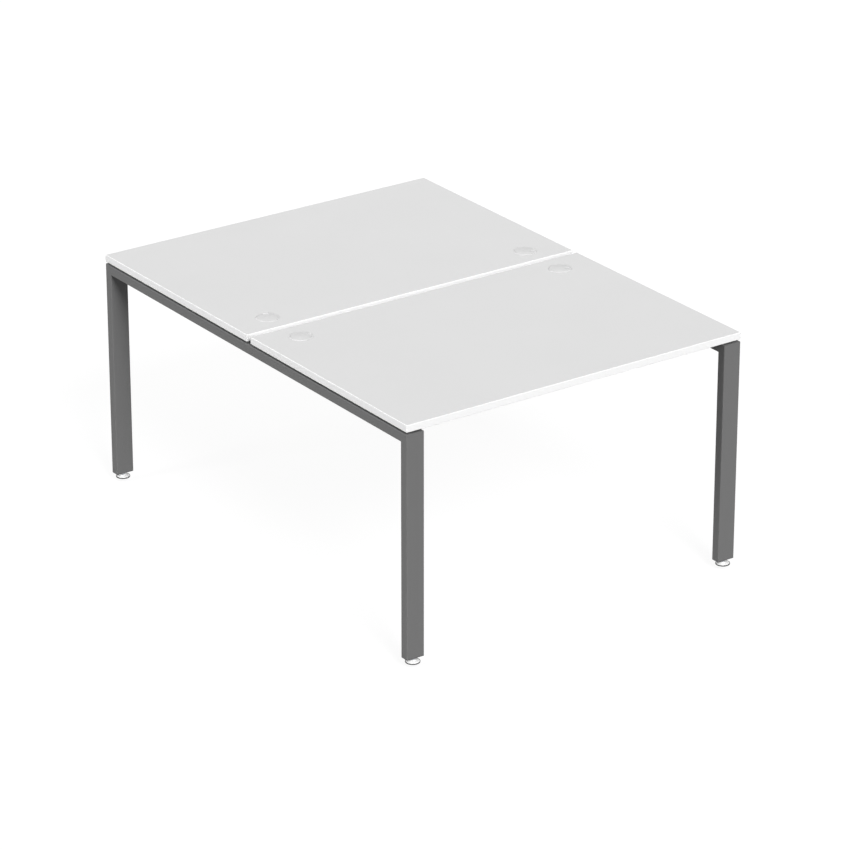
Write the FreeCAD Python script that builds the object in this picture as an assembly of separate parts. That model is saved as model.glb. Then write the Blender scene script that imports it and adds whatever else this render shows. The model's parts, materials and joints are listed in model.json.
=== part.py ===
import FreeCAD, Part
import math
import os

# Bench desk for two people who sit face to face.
# Two steel end frames, four beams between them, two worktops on spacers,
# a turning cable grommet near each inner corner and a levelling foot under each leg.
# Millimetres. Origin on the floor under the middle of the desk, +Z up.
# Left is -X, right is +X, front is -Y, rear is +Y.

# Whole desk
desk_width = 1200.0
top_depth = 800.0
top_gap = 20.0
desk_height = 750.0

# Worktops: a board with a plastic strip glued to each of its four edges
top_thickness = 22.0
edge_strip_thickness = 2.0
edge_radius = 1.5

# Rectangular steel tube of the end frames, the wide side across the desk
tube_width = 60.0
tube_depth = 30.0
tube_wall = 1.5
tube_corner_radius = 2.5
least_inner_radius = 0.5

# Beams that tie the two frames together, level with the rails
beam_width = 50.0
beam_outer_inset = 150.0
beam_inner_inset = 200.0
end_plate_thickness = 4.0
end_plate_margin = 20.0
end_plate_corner_radius = 3.0

# Bolts of the end plates and the rivet nuts that take them
bolt_offset = 13.0
bolt_radius = 4.0
bolt_reach = 14.0
bolt_head_flats = 13.0
bolt_head_height = 5.3
bolt_hole_clearance = 0.4
rivet_nut_wall = 1.5
rivet_nut_spare = 1.0
rivet_nut_bulge = 1.5
rivet_nut_bulge_length = 4.0

# Fixings of the worktops: spacer, screw from below and insert nut in the board
spacer_height = 7.0
spacer_radius = 10.0
spacer_chamfer = 0.8
fixing_inset = 70.0
beam_fixing_spacing = 600.0
screw_radius = 3.0
screw_grip = 12.0
screw_head_radius = 6.5
screw_head_height = 3.6
screw_head_rim = 1.1
screw_head_crown = 2.6
screw_socket_flats = 4.0
screw_socket_depth = 2.4
screw_hole_clearance = 0.3
insert_wall = 1.5
insert_spare = 1.0
insert_flange_width = 1.5
insert_flange_thickness = 1.2

# Cable grommets: a liner in the board and a cap that turns in the liner
grommet_side_inset = 125.0
grommet_edge_inset = 80.0
grommet_hole_radius = 30.0
liner_wall = 1.8
liner_shortfall = 4.0
liner_chamfer = 1.2
flange_overhang = 6.0
flange_height = 1.8
flange_land_height = 0.6
flange_bevel = 1.0
shelf_reach = 4.0
shelf_thickness = 1.5
shelf_hub_wall = 4.0
cap_overhang = 1.4
cap_thickness = 1.1
cap_chamfer = 0.3
cap_pin_radius = 3.0
cap_pin_barb = 0.6
cap_pin_barb_height = 2.0
notch_width = 18.0
notch_depth = 15.4
notch_angles = {"left_front": -15.0, "left_rear": 70.0, "right_front": -45.0, "right_rear": -45.0}

# Leg plugs and levelling feet
foot_retract = 3.6
plug_flange_thickness = 2.5
plug_skirt_height = 25.0
plug_wall = 2.0
plug_fin_height = 0.5
plug_fin_thickness = 1.2
plug_fin_count = 3
plug_boss_wall = 1.5
nut_flats = 17.0
nut_height = 8.0
stem_radius = 5.0
stem_past_nut = 15.5
stem_chamfer = 1.0
stem_flange_width = 2.0
stem_flange_thickness = 1.9
collar_flats = 14.0
collar_height = 4.0
collar_gap = 0.8
foot_radius = 22.2
sole_floor = 1.6
sole_height = 3.4
sole_wall = 1.4
sole_chamfer = 0.5
pad_rim_height = 2.0
pad_rim_chamfer = 0.5
pad_cone_rise = 2.6
pad_hub_wall = 1.7
pad_hub_rise = 2.4
pad_floor = 1.6

# Clearances between pieces
running_fit = 0.05
slip_fit = 0.2
free_gap = 0.3
cut_margin = 1.0

# Places worked out from the sizes above
pad_radius = foot_radius - sole_wall - slip_fit
pad_rim_top = sole_floor + pad_rim_height
pad_cone_top = pad_rim_top + pad_cone_rise
pad_hub_top = pad_cone_top + pad_hub_rise
stem_seat = sole_floor + pad_floor
collar_bottom = pad_hub_top + collar_gap
foot_height = collar_bottom + collar_height + foot_retract
half_width = desk_width / 2
half_depth = top_depth + top_gap / 2
top_underside = desk_height - top_thickness
frame_top = top_underside - spacer_height
frame_underside = frame_top - tube_depth
rail_x = half_width - tube_width / 2
rail_inner_x = half_width - tube_width
leg_y = half_depth - tube_depth / 2
leg_bottom = foot_height + plug_flange_thickness
beam_places_y = (half_depth - beam_outer_inset, top_gap / 2 + beam_inner_inset)
rail_fixings_y = (half_depth - fixing_inset, top_gap / 2 + fixing_inset)
grommet_x = half_width - grommet_side_inset
grommet_y = top_gap / 2 + grommet_edge_inset
tube_inner_radius = max(tube_corner_radius - tube_wall, least_inner_radius)
bolt_spacing = beam_width + 2 * bolt_offset
end_plate_length = bolt_spacing + 2 * end_plate_margin
rivet_nut_radius = bolt_radius + rivet_nut_wall
rivet_nut_length = bolt_reach + rivet_nut_spare
screw_hole_radius = screw_radius + screw_hole_clearance
insert_radius = screw_radius + insert_wall
insert_length = screw_grip + insert_spare
sleeve_radius = grommet_hole_radius - slip_fit
bore_radius = sleeve_radius - liner_wall
flange_radius = grommet_hole_radius + flange_overhang
cap_radius = grommet_hole_radius + cap_overhang
shelf_top = flange_land_height - free_gap
shelf_bottom = shelf_top - shelf_thickness
stem_flange_radius = stem_radius + stem_flange_width
pad_hub_radius = stem_flange_radius + free_gap + pad_hub_wall

SIDES = (("left", -1), ("right", 1))
ENDS = (("front", -1), ("rear", 1))
UP = FreeCAD.Vector(0, 0, 1)
ORIGIN = FreeCAD.Vector(0, 0, 0)


def vector(x, y, z):
    return FreeCAD.Vector(x, y, z)


def moved(shape, x, y, z):
    copy = shape.copy()
    copy.translate(vector(x, y, z))
    return copy


def turned(shape, axis, angle):
    copy = shape.copy()
    copy.rotate(ORIGIN, axis, angle)
    return copy


def block(low, high):
    """Box between two opposite corners."""
    return Part.makeBox(high[0] - low[0], high[1] - low[1], high[2] - low[2], vector(*low))


def rounded_bar(size_x, size_y, length, radius):
    """Upright bar on the XY plane, centred, with its four upright edges rounded."""
    bar = Part.makeBox(size_x, size_y, length, vector(-size_x / 2, -size_y / 2, 0))
    upright = [edge for edge in bar.Edges if abs(edge.Vertexes[0].Z - edge.Vertexes[1].Z) > length / 2]
    return bar.makeFillet(radius, upright)


def tube(size_x, size_y, length):
    """Upright rectangular tube on the XY plane, open at both ends."""
    outer = rounded_bar(size_x, size_y, length, tube_corner_radius)
    hollow_length = length + 2 * cut_margin
    inner = rounded_bar(size_x - 2 * tube_wall, size_y - 2 * tube_wall, hollow_length, tube_inner_radius)
    return outer.cut(moved(inner, 0, 0, -cut_margin))


def hexagon_bar(flats, height):
    """Upright hexagonal bar on the XY plane, with two flats facing along Y."""
    corner = flats / math.sqrt(3)
    points = []
    for index in range(7):
        angle = math.radians(60 * index)
        points.append(vector(corner * math.cos(angle), corner * math.sin(angle), 0))
    return Part.Face(Part.makePolygon(points)).extrude(vector(0, 0, height))


def turned_profile(points):
    """Solid of revolution about Z from a closed outline of (radius, height) points."""
    corners = [vector(radius, 0, height) for radius, height in points]
    corners.append(corners[0])
    return Part.Face(Part.makePolygon(corners)).revolve(ORIGIN, UP, 360)


def upright_pin(radius, x, y, bottom, top):
    """Upright cylinder, as a pin or as the drill for a hole."""
    return Part.makeCylinder(radius, top - bottom, vector(x, y, bottom))


def cross_pin(radius, x, y, z, length):
    """Cylinder along X, centred on the given point."""
    return Part.makeCylinder(radius, length, vector(x - length / 2, y, z), vector(1, 0, 0))


def mitre_block(end, for_leg):
    """Wedge that cuts a frame corner along the line from its outer to its inner corner."""
    outer_y = end * (half_depth + cut_margin)
    inner_y = end * (half_depth - tube_depth - cut_margin)
    upper_z = frame_top + cut_margin
    lower_z = frame_underside - cut_margin
    corner = (inner_y, upper_z) if for_leg else (outer_y, lower_z)
    outline = [(outer_y, upper_z), (inner_y, lower_z), corner, (outer_y, upper_z)]
    face = Part.Face(Part.makePolygon([vector(-tube_width, y, z) for y, z in outline]))
    return face.extrude(vector(2 * tube_width, 0, 0))


def fixing_places(end):
    """Points in plan where one worktop is screwed down."""
    places = []
    for side_name, side in SIDES:
        for place_y in rail_fixings_y:
            places.append((side * rail_x, end * place_y))
        for place_y in beam_places_y:
            places.append((side * beam_fixing_spacing / 2, end * place_y))
    return places


def worktop(end):
    """Board and its four edge strips, cut from one slab with rounded outer edges."""
    near_y = end * top_gap / 2
    far_y = end * half_depth
    low_y = min(near_y, far_y)
    high_y = max(near_y, far_y)
    strip = edge_strip_thickness
    slab = block((-half_width, low_y, top_underside), (half_width, high_y, desk_height))
    slab = slab.makeFillet(edge_radius, slab.Edges)
    inner_x = half_width - strip
    inner_low_y = low_y + strip
    inner_high_y = high_y - strip

    def portion(low_x, from_y, high_x, to_y):
        return slab.common(block((low_x, from_y, top_underside), (high_x, to_y, desk_height)))

    board = portion(-inner_x, inner_low_y, inner_x, inner_high_y)
    for side_name, side in SIDES:
        hole = upright_pin(
            grommet_hole_radius,
            side * grommet_x,
            end * grommet_y,
            top_underside - cut_margin,
            desk_height + cut_margin,
        )
        board = board.cut(hole)
    for x, y in fixing_places(end):
        socket = turned_profile(insert_outline(running_fit))
        board = board.cut(moved(socket, x, y, top_underside))
    strips = {
        "front_edge": portion(-half_width, low_y, half_width, inner_low_y),
        "rear_edge": portion(-half_width, inner_high_y, half_width, high_y),
        "left_edge": portion(-half_width, inner_low_y, -inner_x, inner_high_y),
        "right_edge": portion(inner_x, inner_low_y, half_width, inner_high_y),
    }
    return board, strips


def insert_outline(growth):
    """Outside of an insert nut as a solid, flange at the bottom, grown for its socket."""
    return [
        (0, 0),
        (insert_radius + insert_flange_width + growth, 0),
        (insert_radius + insert_flange_width + growth, insert_flange_thickness + growth),
        (insert_radius + growth, insert_flange_thickness + growth),
        (insert_radius + growth, insert_length + growth),
        (0, insert_length + growth),
    ]


def insert_nut():
    bore = upright_pin(screw_radius + running_fit, 0, 0, -cut_margin, insert_length + cut_margin)
    return turned_profile(insert_outline(0)).cut(bore)


def spacer():
    """Ring that holds the worktop clear of the steel, bevelled at both ends."""
    return turned_profile(
        [
            (screw_hole_radius, 0),
            (spacer_radius - spacer_chamfer, 0),
            (spacer_radius, spacer_chamfer),
            (spacer_radius, spacer_height - spacer_chamfer),
            (spacer_radius - spacer_chamfer, spacer_height),
            (screw_hole_radius, spacer_height),
        ]
    )


def top_screw():
    """Screw from below, its low domed head under the steel and its tip in the insert nut."""
    shank_length = tube_depth + spacer_height + screw_grip
    screw = turned_profile(
        [
            (0, -screw_head_height),
            (screw_head_radius - screw_head_crown, -screw_head_height),
            (screw_head_radius, -screw_head_rim),
            (screw_head_radius, 0),
            (screw_radius, 0),
            (screw_radius, shank_length),
            (0, shank_length),
        ]
    )
    socket = hexagon_bar(screw_socket_flats, screw_socket_depth + cut_margin)
    return screw.cut(moved(socket, 0, 0, -screw_head_height - cut_margin))


def leg(side, end):
    """Upright tube, cut square at the plug and mitred to the rail at the top."""
    length = frame_top - leg_bottom
    bar = moved(tube(tube_width, tube_depth, length), 0, end * leg_y, leg_bottom)
    bar = bar.cut(mitre_block(end, True))
    return moved(bar, side * rail_x, 0, 0)


def rail(side):
    """Level tube along the depth of the desk, mitred to a leg at each end."""
    length = 2 * half_depth
    bar = turned(tube(tube_width, tube_depth, length), vector(1, 0, 0), -90)
    bar = moved(bar, 0, -half_depth, frame_underside + tube_depth / 2)
    for end_name, end in ENDS:
        bar = bar.cut(mitre_block(end, False))
    bar = moved(bar, side * rail_x, 0, 0)
    for end_name, end in ENDS:
        for place_y in rail_fixings_y:
            bar = bar.cut(
                upright_pin(
                    screw_hole_radius,
                    side * rail_x,
                    end * place_y,
                    frame_underside - cut_margin,
                    frame_top + cut_margin,
                )
            )
    wall_x = side * (rail_inner_x + tube_wall / 2)
    for x, y in bolt_places(side):
        hole_length = tube_wall + 2 * cut_margin
        bar = bar.cut(cross_pin(rivet_nut_radius, wall_x, y, beam_level(), hole_length))
    return bar


def beam_level():
    """Height of the middle of rails and beams."""
    return frame_underside + tube_depth / 2


def beam_lines():
    """Names and places of the four beams across the depth."""
    lines = []
    for end_name, end in ENDS:
        for place_name, place_y in zip(("outer", "inner"), beam_places_y):
            lines.append((end_name + "_" + place_name, end * place_y))
    return lines


def bolt_places(side):
    """Points on a rail's inner face where the end plates are bolted."""
    places = []
    for name, beam_y in beam_lines():
        for half in (-1, 1):
            places.append((side * rail_inner_x, beam_y + half * bolt_spacing / 2))
    return places


def beam(beam_y):
    """Tube between the two end plates, drilled for the worktop screws."""
    length = 2 * (rail_inner_x - end_plate_thickness)
    bar = turned(tube(tube_depth, beam_width, length), vector(0, 1, 0), 90)
    bar = moved(bar, -length / 2, beam_y, beam_level())
    for side_name, side in SIDES:
        bar = bar.cut(
            upright_pin(
                screw_hole_radius,
                side * beam_fixing_spacing / 2,
                beam_y,
                frame_underside - cut_margin,
                frame_top + cut_margin,
            )
        )
    return bar


def end_plate(side, beam_y):
    """Flat plate across the end of a beam, bolted to the rail at both of its ends."""
    plate = rounded_bar(tube_depth, end_plate_length, end_plate_thickness, end_plate_corner_radius)
    plate = turned(plate, vector(0, 1, 0), 90)
    low_x = min(side * rail_inner_x, side * (rail_inner_x - end_plate_thickness))
    plate = moved(plate, low_x, beam_y, beam_level())
    middle_x = side * (rail_inner_x - end_plate_thickness / 2)
    for half in (-1, 1):
        hole = cross_pin(
            bolt_radius + bolt_hole_clearance,
            middle_x,
            beam_y + half * bolt_spacing / 2,
            beam_level(),
            end_plate_thickness + 2 * cut_margin,
        )
        plate = plate.cut(hole)
    return plate


def facing_rail(shape, side, y):
    """Turn a shape made along +Z so that it points from the plate into the rail."""
    return moved(turned(shape, vector(0, 1, 0), side * 90), side * rail_inner_x, y, beam_level())


def end_plate_bolt():
    """Hexagon bolt, head on the plate and shank through the rivet nut."""
    head = hexagon_bar(bolt_head_flats, bolt_head_height)
    head = moved(head, 0, 0, -end_plate_thickness - bolt_head_height)
    shank = upright_pin(bolt_radius, 0, 0, -end_plate_thickness, bolt_reach)
    return head.fuse(shank).removeSplitter()


def rivet_nut():
    """Threaded sleeve set in the rail's inner wall, swollen behind the wall."""
    bore = bolt_radius + running_fit
    body = rivet_nut_radius - running_fit
    bulge = rivet_nut_radius + rivet_nut_bulge
    return turned_profile(
        [
            (bore, 0),
            (body, 0),
            (body, tube_wall),
            (bulge, tube_wall),
            (bulge, tube_wall + rivet_nut_bulge_length / 2),
            (body, tube_wall + rivet_nut_bulge_length),
            (body, rivet_nut_length),
            (bore, rivet_nut_length),
        ]
    )


def grommet_liner():
    """Sleeve with a flange on the worktop, a land for the cap and a shelf that closes half its bore."""
    recess_radius = cap_radius + free_gap
    liner_length = top_thickness - liner_shortfall
    liner = turned_profile(
        [
            (bore_radius, -liner_length),
            (sleeve_radius - liner_chamfer, -liner_length),
            (sleeve_radius, -liner_length + 2 * liner_chamfer),
            (sleeve_radius, 0),
            (flange_radius, 0),
            (flange_radius, flange_height - flange_bevel),
            (flange_radius - flange_bevel, flange_height),
            (recess_radius, flange_height),
            (recess_radius, flange_land_height),
            (bore_radius, flange_land_height),
        ]
    )
    shelf_radius = bore_radius + liner_wall / 2
    shelf = upright_pin(shelf_radius, 0, 0, shelf_bottom, shelf_top)
    open_half = block(
        (-2 * shelf_radius, -2 * shelf_radius, shelf_bottom - cut_margin),
        (-shelf_reach, 2 * shelf_radius, shelf_top + cut_margin),
    )
    hub = upright_pin(cap_pin_radius + shelf_hub_wall, 0, 0, shelf_bottom, shelf_top)
    shelf = shelf.cut(open_half).fuse(hub)
    pin_hole = upright_pin(
        cap_pin_radius + running_fit, 0, 0, shelf_bottom - cut_margin, shelf_top + cut_margin
    )
    return liner.fuse(shelf.cut(pin_hole)).removeSplitter()


def grommet_cap(angle):
    """Disc with a U-shaped cable notch and a snap pin that holds it to the shelf."""
    underside = flange_land_height
    disc_top = underside + cap_thickness
    barb_top = shelf_bottom - free_gap
    barb_bottom = barb_top - cap_pin_barb_height
    cap = turned_profile(
        [
            (0, barb_bottom),
            (cap_pin_radius - cap_pin_barb, barb_bottom),
            (cap_pin_radius + cap_pin_barb, barb_top - cap_pin_barb),
            (cap_pin_radius + cap_pin_barb, barb_top),
            (cap_pin_radius, barb_top),
            (cap_pin_radius, underside),
            (cap_radius, underside),
            (cap_radius, disc_top - cap_chamfer),
            (cap_radius - cap_chamfer, disc_top),
            (0, disc_top),
        ]
    )
    notch_bottom = underside - cut_margin
    notch_top = disc_top + cut_margin
    notch_centre = cap_radius - notch_depth + notch_width / 2
    notch_end = upright_pin(notch_width / 2, notch_centre, 0, notch_bottom, notch_top)
    notch_run = block(
        (notch_centre, -notch_width / 2, notch_bottom),
        (cap_radius + cut_margin, notch_width / 2, notch_top),
    )
    return turned(cap.cut(notch_end.fuse(notch_run)), UP, angle)


def leg_plug():
    """Moulded plug: flange under the tube, finned skirt inside it and a boss for the nut."""
    inner_x = tube_width - 2 * tube_wall - 2 * running_fit
    inner_y = tube_depth - 2 * tube_wall - 2 * running_fit
    skirt_x = inner_x - 2 * plug_fin_height
    skirt_y = inner_y - 2 * plug_fin_height
    hollow_x = skirt_x - 2 * plug_wall
    hollow_y = skirt_y - 2 * plug_wall
    height = plug_skirt_height
    flange = rounded_bar(tube_width, tube_depth, plug_flange_thickness, tube_corner_radius)
    flange = moved(flange, 0, 0, -plug_flange_thickness)
    skirt = rounded_bar(skirt_x, skirt_y, height, tube_inner_radius)
    skirt = skirt.cut(rounded_bar(hollow_x, hollow_y, height, tube_inner_radius))
    fin = rounded_bar(inner_x, inner_y, plug_fin_thickness, tube_inner_radius)
    fin = fin.cut(rounded_bar(hollow_x, hollow_y, plug_fin_thickness, tube_inner_radius))
    boss_radius = nut_flats / math.sqrt(3) + slip_fit + plug_boss_wall
    boss = Part.makeCylinder(boss_radius, height)
    web = block((-skirt_x / 2, -plug_wall / 2, 0), (skirt_x / 2, plug_wall / 2, height))
    core = boss.fuse(web).common(rounded_bar(skirt_x, skirt_y, height, tube_inner_radius))
    plug = flange.fuse([skirt, core])
    for index in range(plug_fin_count):
        fin_z = height * (index + 1) / (plug_fin_count + 1)
        plug = plug.fuse(moved(fin, 0, 0, fin_z))
    pocket = hexagon_bar(nut_flats + 2 * slip_fit, nut_height + cut_margin)
    plug = plug.cut(moved(pocket, 0, 0, height - nut_height))
    bore = upright_pin(stem_radius + free_gap, 0, 0, -plug_flange_thickness - cut_margin, height)
    return plug.cut(bore).removeSplitter()


def foot_nut():
    """Hexagon nut pressed into the top of the plug's boss."""
    nut = hexagon_bar(nut_flats, nut_height)
    bore = upright_pin(stem_radius + running_fit, 0, 0, -cut_margin, nut_height + cut_margin)
    return moved(nut.cut(bore), 0, 0, plug_skirt_height - nut_height)


def foot_stem():
    """Threaded stem with a spanner collar and a flange that the pad holds."""
    stem_top = leg_bottom + plug_skirt_height + stem_past_nut
    stem = turned_profile(
        [
            (0, stem_seat),
            (stem_flange_radius, stem_seat),
            (stem_flange_radius, stem_seat + stem_flange_thickness),
            (stem_radius, stem_seat + stem_flange_thickness),
            (stem_radius, stem_top - stem_chamfer),
            (stem_radius - stem_chamfer, stem_top),
            (0, stem_top),
        ]
    )
    collar = moved(hexagon_bar(collar_flats, collar_height), 0, 0, collar_bottom)
    return stem.fuse(collar).removeSplitter()


def foot_pad():
    """Round light foot: disc in the sole, low cone and a hub that swivels on the stem."""
    cavity_top = stem_seat + stem_flange_thickness + free_gap
    return turned_profile(
        [
            (0, sole_floor),
            (pad_radius, sole_floor),
            (pad_radius, pad_rim_top - pad_rim_chamfer),
            (pad_radius - pad_rim_chamfer, pad_rim_top),
            (pad_hub_radius + pad_rim_chamfer, pad_cone_top),
            (pad_hub_radius, pad_cone_top + pad_rim_chamfer),
            (pad_hub_radius, pad_hub_top - pad_rim_chamfer),
            (pad_hub_radius - pad_rim_chamfer, pad_hub_top),
            (stem_radius + running_fit, pad_hub_top),
            (stem_radius + running_fit, cavity_top),
            (stem_flange_radius + free_gap, cavity_top),
            (stem_flange_radius + free_gap, stem_seat),
            (0, stem_seat),
        ]
    )


def foot_sole():
    """Shallow plastic cup around the pad, the only piece that touches the floor."""
    inner_radius = foot_radius - sole_wall
    return turned_profile(
        [
            (0, 0),
            (foot_radius - sole_chamfer, 0),
            (foot_radius, sole_chamfer),
            (foot_radius, sole_height - sole_chamfer),
            (foot_radius - sole_chamfer, sole_height),
            (inner_radius, sole_height),
            (inner_radius, sole_floor),
            (0, sole_floor),
        ]
    )


def save(name, shape):
    shape.exportStep(os.path.join("parts", name + ".step"))


def save_worktops():
    inserts = []
    spacers = []
    screws = []
    for end_name, end in ENDS:
        board, strips = worktop(end)
        save(end_name + "_top", board)
        for strip_name, strip in strips.items():
            save(end_name + "_top_" + strip_name, strip)
        for x, y in fixing_places(end):
            inserts.append(moved(insert_nut(), x, y, top_underside))
            spacers.append(moved(spacer(), x, y, frame_top))
            screws.append(moved(top_screw(), x, y, frame_underside))
    save("top_insert_nuts", Part.makeCompound(inserts))
    save("top_spacers", Part.makeCompound(spacers))
    save("top_screws", Part.makeCompound(screws))


def save_grommets():
    for side_name, side in SIDES:
        for end_name, end in ENDS:
            place = side_name + "_" + end_name
            x = side * grommet_x
            y = end * grommet_y
            save("grommet_liner_" + place, moved(grommet_liner(), x, y, desk_height))
            save("grommet_cap_" + place, moved(grommet_cap(notch_angles[place]), x, y, desk_height))


def save_frames():
    for side_name, side in SIDES:
        save(side_name + "_rail", rail(side))
        for end_name, end in ENDS:
            save(side_name + "_" + end_name + "_leg", leg(side, end))


def save_beams():
    plates = []
    bolts = []
    nuts = []
    for name, beam_y in beam_lines():
        save("beam_" + name, beam(beam_y))
        for side_name, side in SIDES:
            plates.append(end_plate(side, beam_y))
    for side_name, side in SIDES:
        for x, y in bolt_places(side):
            bolts.append(facing_rail(end_plate_bolt(), side, y))
            nuts.append(facing_rail(rivet_nut(), side, y))
    save("beam_end_plates", Part.makeCompound(plates))
    save("beam_bolts", Part.makeCompound(bolts))
    save("rail_rivet_nuts", Part.makeCompound(nuts))


def save_feet():
    nuts = []
    for side_name, side in SIDES:
        for end_name, end in ENDS:
            place = side_name + "_" + end_name
            x = side * rail_x
            y = end * leg_y
            save("leg_plug_" + place, moved(leg_plug(), x, y, leg_bottom))
            nuts.append(moved(foot_nut(), x, y, leg_bottom))
            save("foot_stem_" + place, moved(foot_stem(), x, y, 0))
            save("foot_pad_" + place, moved(foot_pad(), x, y, 0))
            save("foot_sole_" + place, moved(foot_sole(), x, y, 0))
    save("foot_nuts", Part.makeCompound(nuts))


os.makedirs("parts", exist_ok=True)
save_worktops()
save_grommets()
save_frames()
save_beams()
save_feet()
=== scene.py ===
"""Looks of a face-to-face bench desk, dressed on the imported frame.

The worktops, edge strips, tubes and hidden fasteners keep their solids and only get a finish.
The feet, grommets, bolt heads, screw heads and weld beads are modelled here in finer form.
"""

import json
import logging
import math
from dataclasses import dataclass
from enum import Enum
from typing import Any, Callable, Optional, Sequence

import bmesh
import bpy
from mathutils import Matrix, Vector


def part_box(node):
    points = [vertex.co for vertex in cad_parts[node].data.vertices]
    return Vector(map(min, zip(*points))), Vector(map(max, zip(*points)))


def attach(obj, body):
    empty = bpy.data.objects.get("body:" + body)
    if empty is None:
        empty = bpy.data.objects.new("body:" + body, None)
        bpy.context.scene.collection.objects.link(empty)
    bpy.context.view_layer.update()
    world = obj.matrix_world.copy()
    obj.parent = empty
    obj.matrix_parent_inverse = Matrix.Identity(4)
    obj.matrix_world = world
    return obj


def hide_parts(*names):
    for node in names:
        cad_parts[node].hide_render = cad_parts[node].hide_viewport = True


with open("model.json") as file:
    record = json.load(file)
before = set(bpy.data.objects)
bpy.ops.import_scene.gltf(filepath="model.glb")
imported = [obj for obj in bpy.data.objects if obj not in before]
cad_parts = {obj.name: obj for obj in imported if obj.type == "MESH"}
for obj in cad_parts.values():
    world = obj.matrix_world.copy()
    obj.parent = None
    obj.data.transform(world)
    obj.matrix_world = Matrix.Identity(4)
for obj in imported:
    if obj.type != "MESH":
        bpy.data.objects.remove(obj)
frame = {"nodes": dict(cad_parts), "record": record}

MM = 0.001
# Points nearer to each other than this become one
WELD_REACH = 0.002 * MM
# Least part of a face's normal along the way that the face looks
LOOKS_ALONG = 0.9
FULL_TURN = 2 * math.pi
HEXAGON = 6
CHAMFER_DEG = 30.0
DESK_BODY = "desk"
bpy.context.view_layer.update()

log = logging.getLogger("bench_desk")

Piece = bpy.types.Object
Tree = bpy.types.NodeTree
Node = bpy.types.Node
Socket = bpy.types.NodeSocket
Outline = Sequence[tuple[float, float]]
FaceTest = Callable[[Vector], bool]


class Side(Enum):
    """Left or right half of the desk, with its sign along X."""

    LEFT = -1
    RIGHT = 1


class End(Enum):
    """Front or rear half of the desk, with its sign along Y."""

    FRONT = -1
    REAR = 1


class Axis(Enum):
    """A direction of the shared frame."""

    X = (1.0, 0.0, 0.0)
    Y = (0.0, 1.0, 0.0)
    Z = (0.0, 0.0, 1.0)


@dataclass(frozen=True)
class Corner:
    """One quarter of the desk, which has one leg, one foot and one grommet."""

    side: Side
    end: End

    @property
    def name(self) -> str:
        """Name used in the node and body names, such as left_front."""
        return f"{self.side.name.lower()}_{self.end.name.lower()}"


CORNERS = [Corner(side, end) for side in Side for end in End]
# Turn of each cap's notch from +X, counter-clockwise
NOTCH_DEG = {"left_front": -15.0, "left_rear": 70.0, "right_front": -45.0, "right_rear": -45.0}
BEAM_LINES = ("outer", "inner")


def beam_node(end: End, line: str) -> str:
    """Name of a beam's node, such as beam_front_outer."""
    return f"beam_{end.name.lower()}_{line}"


BEAMS = [beam_node(end, line) for end in End for line in BEAM_LINES]


# Colours and nodes


def linear(hex_colour: str) -> tuple[float, float, float, float]:
    """Turn an sRGB hex colour to the linear colour that a shader takes.

    Args:
        hex_colour: Six hex digits, such as "E2E2E1".

    Returns:
        Linear red, green, blue and an alpha of 1.
    """
    channels = []
    for start in (0, 2, 4):
        value = int(hex_colour[start : start + 2], 16) / 255
        # The numbers are those of the sRGB standard
        low = value / 12.92
        high = ((value + 0.055) / 1.055) ** 2.4
        channels.append(low if value <= 0.04045 else high)
    return (channels[0], channels[1], channels[2], 1.0)


def pattern_scale(size_mm: float) -> float:
    """Scale at which one feature of a pattern on Object coordinates is this wide."""
    return 1 / (size_mm * MM)


def add_node(
    tree: Tree,
    kind: str,
    settings: Optional[dict[Any, Any]] = None,
    links: Optional[dict[Any, Socket]] = None,
) -> Node:
    """Add a node with its settings and its incoming links.

    Args:
        tree: Node tree that gets the node.
        kind: Blender's name of the node type.
        settings: Values by input name, input number or property name.
        links: Output sockets by the input that they feed.

    Returns:
        The new node.
    """
    node = tree.nodes.new(kind)
    for key, value in (settings or {}).items():
        if isinstance(key, int) or key in node.inputs:
            node.inputs[key].default_value = value
        else:
            setattr(node, key, value)
    for key, socket in (links or {}).items():
        tree.links.new(socket, node.inputs[key])
    return node


# Inputs and output of a Mix node that mixes colours
MIX_FACTOR = 0
MIX_FIRST = 6
MIX_SECOND = 7
MIX_RESULT = 2


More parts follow.
